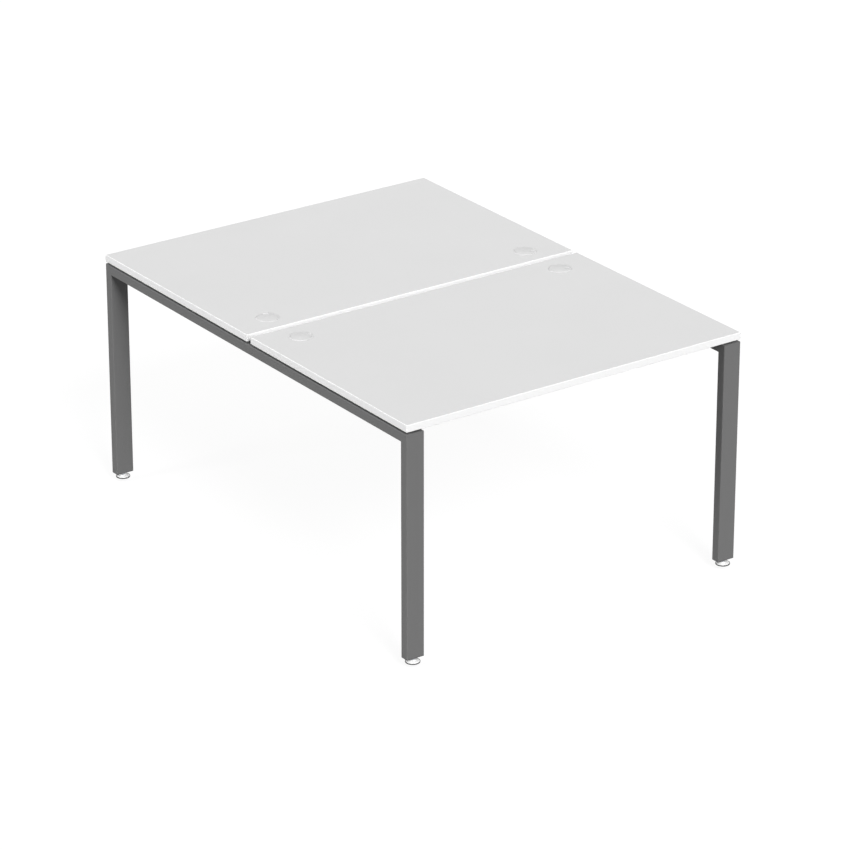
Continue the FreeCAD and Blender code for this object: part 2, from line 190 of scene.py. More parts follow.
@dataclass(frozen=True)
class Finish:
    """A surface finish: what the material is and how its surface was made."""

    name: str
    colour: str
    colour_shift: str
    roughness: float
    roughness_spread: float
    relief_mm: float
    relief_strength: float

    def material(self) -> bpy.types.Material:
        """Make the node material of this finish.

        Returns:
            The new material.
        """
        material = bpy.data.materials.new(self.name)
        material.use_nodes = True
        tree = material.node_tree
        tree.nodes.clear()
        coords = add_node(tree, "ShaderNodeTexCoord").outputs["Object"]
        shader = self.shader(tree, coords)
        add_node(tree, "ShaderNodeOutputMaterial", links={"Surface": shader.outputs["BSDF"]})
        return material

    def shader(self, tree: Tree, coords: Socket) -> Node:
        """Add the surface shader of this finish.

        Args:
            tree: Node tree of the material.
            coords: Object coordinates in metres.

        Returns:
            The surface shader node.
        """
        raise NotImplementedError

    def surface(
        self, tree: Tree, settings: dict[str, float], tint_by: Socket, gloss_by: Socket, height: Socket
    ) -> Node:
        """Let patterns blend the two colours, spread the roughness and raise the relief.

        Args:
            tree: Node tree of the material.
            settings: Values that are the same all over the surface.
            tint_by: Pattern that leads from the main colour to the shifted one.
            gloss_by: Pattern that spreads the roughness around its typical value.
            height: Pattern of the relief.

        Returns:
            The surface shader node.
        """
        shades = {MIX_FIRST: linear(self.colour), MIX_SECOND: linear(self.colour_shift)}
        tint = add_node(tree, "ShaderNodeMix", {"data_type": "RGBA", **shades}, {MIX_FACTOR: tint_by})
        limits = {
            "To Min": self.roughness - self.roughness_spread,
            "To Max": self.roughness + self.roughness_spread,
        }
        gloss = add_node(tree, "ShaderNodeMapRange", limits, {"Value": gloss_by})
        depth = {"Strength": self.relief_strength, "Distance": self.relief_mm * MM}
        relief = add_node(tree, "ShaderNodeBump", depth, {"Height": height})
        links = {
            "Base Color": tint.outputs[MIX_RESULT],
            "Roughness": gloss.outputs["Result"],
            "Normal": relief.outputs["Normal"],
        }
        return add_node(tree, "ShaderNodeBsdfPrincipled", settings, links)


@dataclass(frozen=True)
class PressedMelamine(Finish):
    """Chipboard faced with resin paper under a pearl-textured press plate."""

    relief_mm: float = 0.3
    relief_strength: float = 0.8
    pearl_mm: float = 2.6
    cloud_mm: float = 260.0

    def shader(self, tree: Tree, coords: Socket) -> Node:
        """Add a matt white face whose fine pearls break up the light.

        Args:
            tree: Node tree of the material.
            coords: Object coordinates in metres.

        Returns:
            The surface shader node.
        """
        # The paper's white drifts a little over the board. The pearls are about 0.8 mm wide on
        # a real board and are drawn three times as coarse, so that they show.
        drift = {"Scale": pattern_scale(self.cloud_mm), "Detail": 2.0}
        cloud = add_node(tree, "ShaderNodeTexNoise", drift, {"Vector": coords}).outputs["Fac"]
        grit = {"Scale": pattern_scale(self.pearl_mm), "Detail": 3.0, "Roughness": 0.55}
        pearl = add_node(tree, "ShaderNodeTexNoise", grit, {"Vector": coords}).outputs["Fac"]
        return self.surface(tree, {"IOR": 1.5, "Specular IOR Level": 0.35}, cloud, pearl, pearl)


@dataclass(frozen=True)
class ScrapedStrip(Finish):
    """Extruded ABS strip, glued on and scraped flush along its length."""

    relief_mm: float = 0.06
    relief_strength: float = 0.5
    scratch_mm: float = 0.9
    scratch_length_mm: float = 160.0

    def shader(self, tree: Tree, coords: Socket) -> Node:
        """Add a satin white with faint lines along the strip.

        Args:
            tree: Node tree of the material.
            coords: Object coordinates in metres.

        Returns:
            The surface shader node.
        """
        # The scraper leaves hair lines along the edge, so the noise is fine upwards and long
        # in both level directions. They are drawn coarser than real, so that they show.
        length = pattern_scale(self.scratch_length_mm)
        stretch = {"Scale": (length, length, pattern_scale(self.scratch_mm))}
        lines = add_node(tree, "ShaderNodeMapping", stretch, {"Vector": coords}).outputs["Vector"]
        grit = {"Scale": 1.0, "Detail": 3.0}
        scrape = add_node(tree, "ShaderNodeTexNoise", grit, {"Vector": lines}).outputs["Fac"]
        return self.surface(tree, {"IOR": 1.52, "Specular IOR Level": 0.4}, scrape, scrape, scrape)


@dataclass(frozen=True)
class PowderCoat(Finish):
    """Steel tube with a baked powder coat."""

    relief_mm: float = 0.45
    relief_strength: float = 0.9
    peel_mm: float = 3.2
    grain_mm: float = 0.9

    def shader(self, tree: Tree, coords: Socket) -> Node:
        """Add a dull grey with the soft dimples of orange peel.

        Args:
            tree: Node tree of the material.
            coords: Object coordinates in metres.

        Returns:
            The surface shader node.
        """
        # Powder flows together into dimples 1 to 2 mm wide, drawn twice as coarse here. A finer
        # grain makes the grey sparkle a little.
        dimples = {"Scale": pattern_scale(self.peel_mm), "Detail": 1.5, "Roughness": 0.45}
        peel = add_node(tree, "ShaderNodeTexNoise", dimples, {"Vector": coords}).outputs["Fac"]
        specks = {"Scale": pattern_scale(self.grain_mm), "Detail": 2.0}
        grain = add_node(tree, "ShaderNodeTexNoise", specks, {"Vector": coords}).outputs["Fac"]
        return self.surface(tree, {"IOR": 1.5, "Specular IOR Level": 0.12}, grain, peel, peel)


@dataclass(frozen=True)
class PlatedMetal(Finish):
    """Steel with a bright plated skin."""

    relief_mm: float = 0.02
    relief_strength: float = 0.08
    bloom_mm: float = 9.0
    wave_mm: float = 4.0

    def shader(self, tree: Tree, coords: Socket) -> Node:
        """Add a skin that mirrors its surroundings with a slight haze.

        Args:
            tree: Node tree of the material.
            coords: Object coordinates in metres.

        Returns:
            The surface shader node.
        """
        # Plating follows the polish below it, so reflections waver a little and patches differ
        # in haze.
        patches = {"Scale": pattern_scale(self.bloom_mm), "Detail": 3.0}
        bloom = add_node(tree, "ShaderNodeTexNoise", patches, {"Vector": coords}).outputs["Fac"]
        swell = {"Scale": pattern_scale(self.wave_mm), "Detail": 1.0}
        wave = add_node(tree, "ShaderNodeTexNoise", swell, {"Vector": coords}).outputs["Fac"]
        return self.surface(tree, {"Metallic": 1.0}, bloom, bloom, wave)


@dataclass(frozen=True)
class MouldedPlastic(Finish):
    """Injection moulding from a spark-eroded mould."""

    relief_mm: float = 0.12
    relief_strength: float = 0.6
    erosion_mm: float = 1.1
    flow_mm: float = 13.2

    def shader(self, tree: Tree, coords: Socket) -> Node:
        """Add a dull plastic with the fine pits of its mould.

        Args:
            tree: Node tree of the material.
            coords: Object coordinates in metres.

        Returns:
            The surface shader node.
        """
        # Spark erosion leaves round pits a few tenths of a millimetre wide, drawn coarser so
        # that they show. The colour drifts a little with the flow of the melt.
        craters = {"Scale": pattern_scale(self.erosion_mm), "feature": "SMOOTH_F1"}
        pits = add_node(tree, "ShaderNodeTexVoronoi", craters, {"Vector": coords}).outputs["Distance"]
        drift = {"Scale": pattern_scale(self.flow_mm), "Detail": 2.0}
        flow = add_node(tree, "ShaderNodeTexNoise", drift, {"Vector": coords}).outputs["Fac"]
        return self.surface(tree, {"IOR": 1.49, "Specular IOR Level": 0.4}, flow, pits, pits)


class Slot(Enum):
    """Material slots of the frame, each with its finish."""

    MELAMINE_BOARD = PressedMelamine("white_melamine_board", "DADADA", "D7D7D7", 0.52, 0.06)
    EDGE_STRIP = ScrapedStrip("white_abs_edge_strip", "FAFAFA", "F8F8F8", 0.45, 0.06)
    FRAME_PAINT = PowderCoat("grey_powder_coat", "767676", "6F6F6F", 0.58, 0.07)
    GROMMET_PLASTIC = MouldedPlastic("light_moulded_polystyrene", "D4D4D4", "D1D1D1", 0.55, 0.06)
    PLUG_PLASTIC = MouldedPlastic("grey_moulded_polypropylene", "5C5C5D", "545455", 0.55, 0.08)
    SPACER_PLASTIC = MouldedPlastic("black_moulded_polyamide", "1D1D1E", "161617", 0.5, 0.08)
    ZINC_STEEL = PlatedMetal("zinc_plated_steel", "C6C9CE", "B2B5B8", 0.3, 0.08)
    FOOT_PLASTIC = MouldedPlastic("white_moulded_polyamide", "FAFAFA", "F6F6F6", 0.45, 0.06)
    SOLE_PLASTIC = MouldedPlastic("grey_moulded_polyethylene", "505050", "4A4A4A", 0.6, 0.08)

    @property
    def label(self) -> str:
        """Name of the slot in the frame's record."""
        return self.name.lower()


class Finishes:
    """All finishes as materials, made once and handed out by slot."""

    def __init__(self) -> None:
        """Make one material for each slot."""
        self.materials = {slot: slot.value.material() for slot in Slot}

    def dress(self, piece: Piece, slot: Slot) -> None:
        """Give a piece one finish all over.

        Args:
            piece: New piece or node of the frame.
            slot: Slot whose finish it gets.
        """
        piece.data.materials.clear()
        piece.data.materials.append(self.materials[slot])

    def dress_frame(self) -> None:
        """Give every node of the frame the finish of its slot."""
        slots = {slot.label: slot for slot in Slot}
        for part in frame["record"]["subparts"]:
            self.dress(frame["nodes"][part["node"]], slots[part["material_slot"]])


# Shaping with Blender's own operators


class Bench:
    """The modelling moves that the new pieces share."""

    @staticmethod
    def clear_selection() -> None:
        """Go to object mode with nothing selected, so that operators touch only what is picked next."""
        if bpy.context.mode != "OBJECT":
            bpy.ops.object.mode_set(mode="OBJECT")
        bpy.ops.object.select_all(action="DESELECT")

    @staticmethod
    def take(piece: Piece) -> None:
        """Make a piece the only selected and active one.

        Args:
            piece: Piece that the next operators act on.
        """
        Bench.clear_selection()
        piece.select_set(True)
        bpy.context.view_layer.objects.active = piece

    @staticmethod
    def named(name: str) -> Piece:
        """Name the active piece and put its place into its mesh.

        Args:
            name: Name of the piece.

        Returns:
            The active piece.
        """
        piece = bpy.context.active_object
        piece.name = name
        piece.data.name = name
        bpy.ops.object.transform_apply(location=True, rotation=True, scale=True)
        return piece

    @staticmethod
    def disc_bar(name: str, sides: int, radius: float, low: float, high: float) -> Piece:
        """Start an upright bar with a round or polygonal section around the Z axis.

        Args:
            name: Name of the piece.
            sides: Number of sides of the section.
            radius: Distance of its corners from the axis.
            low: Height of the lower end.
            high: Height of the upper end.

        Returns:
            The new piece.
        """
        Bench.clear_selection()
        bpy.ops.mesh.primitive_cylinder_add(
            vertices=sides, radius=radius, depth=high - low, location=(0, 0, (low + high) / 2)
        )
        return Bench.named(name)

    @staticmethod
    def pick_faces(piece: Piece, test: FaceTest) -> None:
        """Select the faces that pass a test, in edit mode.

        Args:
            piece: Piece in edit mode.
            test: Takes a face's normal and says whether it is picked.
        """
        bpy.ops.mesh.select_mode(type="FACE")
        bpy.ops.mesh.select_all(action="DESELECT")
        mesh = bmesh.from_edit_mesh(piece.data)
        for face in mesh.faces:
            face.select_set(test(face.normal))
        bmesh.update_edit_mesh(piece.data)

    @staticmethod
    def close_up() -> None:
        """Merge points that lie in one place, turn all faces outwards and leave edit mode."""
        bpy.ops.mesh.select_all(action="SELECT")
        bpy.ops.mesh.remove_doubles(threshold=WELD_REACH)
        bpy.ops.mesh.normals_make_consistent(inside=False)
        bpy.ops.object.mode_set(mode="OBJECT")

    @staticmethod
    def wire(name: str, outline: Outline) -> Piece:
        """Extrude a point along an outline, and stay in edit mode with all of it selected.

        Args:
            name: Name of the piece.
            outline: Points as radius and height.

        Returns:
            The new piece, which has edges only.
        """
        Bench.clear_selection()
        bpy.ops.mesh.primitive_plane_add(size=MM)
        piece = Bench.named(name)
        bpy.ops.object.mode_set(mode="EDIT")
        bpy.ops.mesh.select_mode(type="VERT")
        bpy.ops.mesh.select_all(action="SELECT")
        bpy.ops.mesh.merge(type="CENTER")
        bpy.ops.transform.translate(value=(outline[0][0], 0, outline[0][1]))
        for here, there in zip(outline, outline[1:]):
            step = (there[0] - here[0], 0, there[1] - here[1])
            bpy.ops.mesh.extrude_vertices_move(TRANSFORM_OT_translate={"value": step})
        bpy.ops.mesh.select_all(action="SELECT")
        return piece

    @staticmethod
    def lathe(name: str, outline: Outline, steps: int) -> Piece:
        """Draw an outline and spin it around the Z axis.

        Args:
            name: Name of the piece.
            outline: Points as radius and height, from axis to axis or closed in a ring.
            steps: Number of steps round the axis.

        Returns:
            The new closed piece.
        """
        piece = Bench.wire(name, outline)
        bpy.ops.mesh.spin(steps=steps, angle=FULL_TURN, center=(0, 0, 0), axis=Axis.Z.value)
        Bench.close_up()
        return piece

    @staticmethod
    def apply_modifier(piece: Piece, kind: str, settings: dict[str, Any]) -> None:
        """Add a modifier with its settings and apply it.

        Args:
            piece: Piece that is changed.
            kind: Blender's name of the modifier type.
            settings: Values by property name.
        """
        Bench.take(piece)
        modifier = piece.modifiers.new(kind.title(), kind)
        for key, value in settings.items():
            setattr(modifier, key, value)
        bpy.ops.object.modifier_apply(modifier=modifier.name)

    @staticmethod
    def weld(piece: Piece) -> None:
        """Merge points that lie in one place, so that no edge or face is without size.

        Args:
            piece: Piece that is changed.
        """
        Bench.take(piece)
        bpy.ops.object.mode_set(mode="EDIT")
        bpy.ops.mesh.select_all(action="SELECT")
        bpy.ops.mesh.remove_doubles(threshold=WELD_REACH)
        bpy.ops.object.mode_set(mode="OBJECT")

    @staticmethod
    def round_edges(piece: Piece, width: float, segments: int, least_deg: float) -> None:
        """Round every edge that is sharper than an angle.

        Args:
            piece: Piece that is changed.
            width: Width of the rounding.
            segments: Number of strips across it.
            least_deg: Least angle between the faces of a rounded edge.
        """
        settings = {
            "width": width,
            "segments": segments,
            "limit_method": "ANGLE",
            "angle_limit": math.radians(least_deg),
            "use_clamp_overlap": True,
        }
        Bench.apply_modifier(piece, "BEVEL", settings)
        Bench.weld(piece)

    @staticmethod
    def combine(piece: Piece, tool: Piece, operation: str) -> None:
        """Cut, add or intersect a piece with a tool and remove the tool.

        Args:
            piece: Piece that is changed.
            tool: Closed mesh.
            operation: Blender's name of the operation.
        """
        settings = {"object": tool, "operation": operation, "solver": "EXACT"}
        Bench.apply_modifier(piece, "BOOLEAN", settings)
        bpy.data.objects.remove(tool)
        Bench.weld(piece)

    @staticmethod
    def join(pieces: Sequence[Piece], name: str) -> Piece:
        """Join pieces into one object.

        Args:
            pieces: Pieces to join.
            name: Name of the joined piece.

        Returns:
            The joined piece.
        """
        Bench.take(pieces[0])
        for piece in pieces:
            piece.select_set(True)
        bpy.ops.object.join()
        return Bench.named(name)

    @staticmethod
    def copy(
        master: Piece, name: str, place: Vector, turn_deg: float = 0.0, axis: Axis = Axis.Z
    ) -> Piece:
        """Copy a piece with its own mesh, turn it and put it in its place.

        Args:
            master: Piece made around the origin.
            name: Name of the copy.
            place: Where the master's origin goes.
            turn_deg: Turn around the axis, counter-clockwise.
            axis: Axis of the turn.

        Returns:
            The copy.
        """
        Bench.take(master)
        bpy.ops.object.duplicate(linked=False)
        piece = bpy.context.active_object
        piece.rotation_euler = [math.radians(turn_deg) * part for part in axis.value]
        piece.location = place
        return Bench.named(name)

    @staticmethod
    def smooth(piece: Piece, least_deg: float = 35.0) -> None:
        """Shade a piece smooth except across its sharp edges."""
        Bench.take(piece)
        bpy.ops.object.shade_smooth_by_angle(angle=math.radians(least_deg))

    @staticmethod
    def discard(*masters: Piece) -> None:
        """Remove masters that have been copied."""
        for master in masters:
            bpy.data.objects.remove(master)


def node_middle(node: str) -> Vector:
    """Middle of a node's box in metres."""
    low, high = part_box(node)
    return (low + high) / 2


def hexagon_corner(flats: float) -> float:
    """Distance from the axis of a hexagon to its corners."""
    return flats / math.sqrt(3)


def chamfer_rise(flats: float) -> float:
    """Height over which a cone that starts at a hexagon's flats runs out at its corners."""
    return (hexagon_corner(flats) - flats / 2) * math.tan(math.radians(CHAMFER_DEG))


def settle(piece: Piece, body: str, slot: Slot, finishes: Finishes, *nodes: str) -> None:
    """Finish a new piece: its material, body and the nodes that it stands for.

    Args:
        piece: New piece, in its place.
        body: Body that it rides on.
        slot: Slot whose finish it takes.
        finishes: The materials.
        nodes: Nodes of the frame that it replaces.
    """
    finishes.dress(piece, slot)
    slot.label
    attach(piece, body)
    if nodes:
        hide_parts(*nodes)
    log.info("%s on %s", piece.name, body)


# Sub-assemblies


@dataclass
class LevellingFoot:
    """Screw foot of one leg: light pad in a grey sole, and threaded stem, in metres."""

    finishes: Finishes
    foot_radius: float = 22.2 * MM
    sole_wall: float = 1.4 * MM
    sole_floor: float = 1.6 * MM
    sole_high: float = 3.4 * MM
    sole_round: float = 0.25 * MM
    sole_groove: float = 0.6 * MM
    sole_ring: float = 1.6 * MM
    sole_rings: int = 4
    pad_gap: float = 0.2 * MM
    rim_high: float = 3.6 * MM
    cone_high: float = 6.2 * MM
    hub_high: float = 8.6 * MM
    hub_radius: float = 9.0 * MM
    edge_round: float = 0.5 * MM
    stem_low: float = 3.2 * MM
    stem_high: float = 60.0 * MM
    stem_radius: float = 5.0 * MM
    stem_flange_radius: float = 7.0 * MM
    stem_flange_high: float = 5.1 * MM
    collar_low: float = 9.4 * MM
    collar_high: float = 13.4 * MM
    collar_flats: float = 14.0 * MM
    pitch: float = 1.5 * MM
    # Depth and half base of the thread as shares of its pitch, and turns left bare at its ends
    thread_depth_share: float = 0.55
    thread_base_share: float = 0.42
    thread_spare_turns: float = 2.5
    running_gap: float = 0.05 * MM
    round_steps: int = 96
    thread_steps: int = 24

    def build(self) -> None:
        """Model one foot and copy it under each leg."""
        pad = self.pad()
        sole = self.sole()
        stem = self.stem()
        for corner in CORNERS:
            place = node_middle("foot_pad_" + corner.name)
            place.z = 0
            for kind, master, body, slot in (
                ("foot_pad", pad, "foot", Slot.FOOT_PLASTIC),
                ("foot_sole", sole, "foot", Slot.SOLE_PLASTIC),
                ("foot_stem", stem, "stem", Slot.ZINC_STEEL),
            ):
                node = f"{kind}_{corner.name}"
                piece = Bench.copy(master, "fine_" + node, place)
                settle(piece, f"{body}_{corner.name}", slot, self.finishes, node)
        Bench.discard(pad, sole, stem)

    def pad(self) -> Piece:
        """Spin the pad around its axis and round its edges.

        Returns:
            The pad, with its axis on the Z axis.
        """
        bore = self.stem_radius + self.running_gap
        radius = self.foot_radius - self.sole_wall - self.pad_gap
        outline = [
            (0, self.sole_floor),
            (radius, self.sole_floor),
            (radius, self.rim_high),
            (self.hub_radius + self.edge_round, self.cone_high),
            (self.hub_radius, self.cone_high + self.edge_round),
            (self.hub_radius, self.hub_high),
            (bore, self.hub_high),
            (bore, self.stem_flange_high),
            (self.stem_flange_radius, self.stem_flange_high),
            (self.stem_flange_radius, self.stem_low),
            (0, self.stem_low),
        ]
        pad = Bench.lathe("foot_pad_master", outline, self.round_steps)
        Bench.round_edges(pad, self.edge_round, segments=4, least_deg=40)
        Bench.smooth(pad)
        return pad

    def sole(self) -> Piece:
        """Shape the sole from a bar: a hollow for the pad on top and grip rings underneath.

        Returns:
            The sole, with its axis on the Z axis.
        """
        sole = Bench.disc_bar("foot_sole_master", self.round_steps, self.foot_radius, 0, self.sole_high)
        bpy.ops.object.mode_set(mode="EDIT")
        Bench.pick_faces(sole, lambda normal: normal.z > LOOKS_ALONG)
        bpy.ops.mesh.inset(thickness=self.sole_wall, depth=0)
        sink = (0, 0, self.sole_floor - self.sole_high)
        bpy.ops.mesh.extrude_region_move(TRANSFORM_OT_translate={"value": sink})
        Bench.pick_faces(sole, lambda normal: normal.z < -LOOKS_ALONG)
        for ring in range(2 * self.sole_rings):
            bpy.ops.mesh.inset(thickness=self.sole_ring, depth=0)
            rise = self.sole_groove if ring % 2 == 0 else -self.sole_groove
            bpy.ops.mesh.extrude_region_move(TRANSFORM_OT_translate={"value": (0, 0, rise)})
        bpy.ops.object.mode_set(mode="OBJECT")
        Bench.round_edges(sole, self.sole_round, segments=3, least_deg=40)
        Bench.smooth(sole)
        return sole

    def stem(self) -> Piece:
        """Join a turned core, a hexagon collar and a coiled thread ridge.

        Returns:
            The stem, with its axis on the Z axis.
        """
        root = self.stem_radius - self.thread_depth_share * self.pitch
        flange = self.stem_flange_radius - self.running_gap
        flange_low = self.stem_low + self.running_gap
        flange_high = self.stem_flange_high - self.running_gap
        outline = [
            (0, flange_low),
            (flange - self.edge_round, flange_low),
            (flange, flange_low + self.edge_round),
            (flange, flange_high - self.edge_round),
            (flange - self.edge_round, flange_high),
            (self.stem_radius - self.running_gap, flange_high),
            (self.stem_radius - self.running_gap, self.collar_high),
            (root, self.collar_high + self.pitch / 2),
            (root, self.stem_high - self.pitch / 2),
            (root - self.pitch / 2, self.stem_high),
            (0, self.stem_high),
        ]
        core = Bench.lathe("stem_core", outline, self.round_steps)
        collar = self.collar()
        ridge = self.thread(root)
        stem = Bench.join([core, collar, ridge], "foot_stem_master")
        Bench.smooth(stem)
        return stem

    def collar(self) -> Piece:
        """Cut a hexagon collar with a cone at both ends, as a nut is chamfered.

        Returns:
            The collar.
        """
        corner = hexagon_corner(self.collar_flats)
        collar = Bench.disc_bar("stem_collar", HEXAGON, corner, self.collar_low, self.collar_high)
        flat = self.collar_flats / 2
        rise = chamfer_rise(self.collar_flats)
        outline = [
            (0, self.collar_low),
            (flat, self.collar_low),
            (corner, self.collar_low + rise),
            (corner, self.collar_high - rise),
            (flat, self.collar_high),
            (0, self.collar_high),
        ]
        Bench.combine(collar, Bench.lathe("chamfer_tool", outline, self.round_steps), "INTERSECT")
        return collar

    def thread(self, root: float) -> Piece:
        """Coil a three-sided ridge up the core.

        Args:
            root: Radius of the core between the ridges.

        Returns:
            The thread ridge, closed at both ends.
        """
        low = self.collar_high + self.pitch
        length = self.stem_high - self.collar_high
        turns = int(length / self.pitch - self.thread_spare_turns)
        half_base = self.thread_base_share * self.pitch
        base = root - self.running_gap
        outline = [
            (base, low - half_base),
            (self.stem_radius, low),
            (base, low + half_base),
            (base, low - half_base),
        ]
        ridge = Bench.wire("stem_thread", outline)
        Bench.weld(ridge)
        settings = {
            "axis": "Z",
            "angle": FULL_TURN,
            "screw_offset": self.pitch,
            "iterations": turns,
            "steps": self.thread_steps,
            "render_steps": self.thread_steps,
            "use_merge_vertices": False,
        }
        Bench.apply_modifier(ridge, "SCREW", settings)
        Bench.weld(ridge)
        bpy.ops.object.mode_set(mode="EDIT")
        bpy.ops.mesh.select_all(action="SELECT")
        bpy.ops.mesh.fill_holes(sides=len(outline) - 1)
        Bench.close_up()
        return ridge


@dataclass
class CableGrommet:
    """Turning cable outlet: ring and sleeve with a half shelf, and a notched cap.

    Sizes are in metres, and heights are from the worktop's face.
    """

    finishes: Finishes
    bore_radius: float = 28.0 * MM
    sleeve_radius: float = 29.8 * MM
    sleeve_low: float = -18.0 * MM
    ring_radius: float = 36.0 * MM
    ring_high: float = 1.8 * MM
    ring_bevel: float = 1.0 * MM
    recess_radius: float = 31.7 * MM
    land_high: float = 0.6 * MM
    edge_round: float = 0.45 * MM
    shelf_high: float = 0.3 * MM
    shelf_low: float = -1.2 * MM
    shelf_reach: float = 4.0 * MM
    hub_radius: float = 7.0 * MM
    pin_radius: float = 3.0 * MM
    running_gap: float = 0.05 * MM
    cap_radius: float = 31.4 * MM
    cap_high: float = 1.7 * MM
    barb_radius: float = 3.6 * MM
    barb_high: float = -1.5 * MM
    barb_low: float = -3.5 * MM
    notch_width: float = 18.0 * MM
    notch_depth: float = 15.4 * MM
    notch_steps: int = 48
    # How far a cutter stands out of what it cuts
    spare: float = 1.0 * MM
    round_steps: int = 128

    def build(self) -> None:
        """Model one grommet and copy it to the four places, each cap turned its own way."""
        liner = self.liner()
        cap = self.cap()
        for corner in CORNERS:
            liner_node = "grommet_liner_" + corner.name
            cap_node = "grommet_cap_" + corner.name
            place = node_middle(liner_node)
            place.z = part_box("front_top")[1].z
            ring = Bench.copy(liner, "fine_" + liner_node, place)
            settle(ring, DESK_BODY, Slot.GROMMET_PLASTIC, self.finishes, liner_node)
            lid = Bench.copy(cap, "fine_" + cap_node, place, NOTCH_DEG[corner.name])
            settle(lid, "cap_" + corner.name, Slot.GROMMET_PLASTIC, self.finishes, cap_node)
        Bench.discard(liner, cap)

    def liner(self) -> Piece:
        """Spin the ring and sleeve, and add the half shelf with its hub.

        Returns:
            The liner, with the worktop's face at height 0.
        """
        outline = [
            (self.bore_radius, self.sleeve_low),
            (self.sleeve_radius, self.sleeve_low),
            (self.sleeve_radius, 0),
            (self.ring_radius, 0),
            (self.ring_radius, self.ring_high - self.ring_bevel),
            (self.ring_radius - self.ring_bevel, self.ring_high),
            (self.recess_radius, self.ring_high),
            (self.recess_radius, self.land_high),
            (self.bore_radius, self.land_high),
            (self.bore_radius, self.sleeve_low),
        ]
        sleeve = Bench.lathe("liner_sleeve", outline, self.round_steps)
        Bench.round_edges(sleeve, self.edge_round, segments=3, least_deg=30)
        liner = Bench.join([sleeve, self.shelf()], "grommet_liner_master")
        Bench.smooth(liner)
        return liner

    def shelf(self) -> Piece:
        """Cut a disc to a half and add the hub that the cap's pin turns in.

        Returns:
            The shelf.
        """
        low, high = self.shelf_low, self.shelf_high
        wall_middle = (self.bore_radius + self.sleeve_radius) / 2
        shelf = Bench.disc_bar("liner_shelf", self.round_steps, wall_middle, low, high)
        bpy.ops.object.mode_set(mode="EDIT")
        bpy.ops.mesh.select_all(action="SELECT")
        bpy.ops.mesh.bisect(
            plane_co=(-self.shelf_reach, 0, 0), plane_no=Axis.X.value, clear_inner=True, use_fill=True
        )
        bpy.ops.object.mode_set(mode="OBJECT")
        hub = Bench.disc_bar("liner_hub", self.round_steps, self.hub_radius, low, high)
        Bench.combine(shelf, hub, "UNION")
        radius = self.pin_radius + self.running_gap
        bore = Bench.disc_bar("hub_bore", self.round_steps, radius, low - self.spare, high + self.spare)
        Bench.combine(shelf, bore, "DIFFERENCE")
        return shelf

    def cap(self) -> Piece:
        """Spin the cap with its snap pin, and cut the cable notch.

        Returns:
            The cap, with its notch towards +X.
        """
        underside = self.land_high + self.running_gap
        barb = self.barb_radius - self.pin_radius
        outline = [
            (0, self.barb_low),
            (self.pin_radius - barb, self.barb_low),
            (self.barb_radius, self.barb_high - barb),
            (self.barb_radius, self.barb_high),
            (self.pin_radius, self.barb_high),
            (self.pin_radius, underside),
            (self.cap_radius, underside),
            (self.cap_radius, self.cap_high),
            (0, self.cap_high),
        ]
        cap = Bench.lathe("grommet_cap_master", outline, self.round_steps)
        Bench.combine(cap, self.notch_tool(), "DIFFERENCE")
        Bench.round_edges(cap, self.edge_round, segments=3, least_deg=50)
        Bench.smooth(cap)
        return cap

    def notch_tool(self) -> Piece:
        """Shape a U-shaped cutter from a round bar by drawing its outer half out.

        Returns:
            The cutter.
        """
        low = self.land_high - self.spare
        high = self.cap_high + self.spare
        tool = Bench.disc_bar("notch_tool", self.notch_steps, self.notch_width / 2, low, high)
        bpy.ops.object.mode_set(mode="EDIT")
        Bench.pick_faces(tool, lambda normal: normal.x > 0 and abs(normal.z) < LOOKS_ALONG)
        bpy.ops.mesh.extrude_region_move(TRANSFORM_OT_translate={"value": (self.notch_width, 0, 0)})
        bpy.ops.mesh.select_all(action="SELECT")
        middle_x = self.cap_radius - self.notch_depth + self.notch_width / 2
        bpy.ops.transform.translate(value=(middle_x, 0, 0))
        Bench.close_up()
        return tool


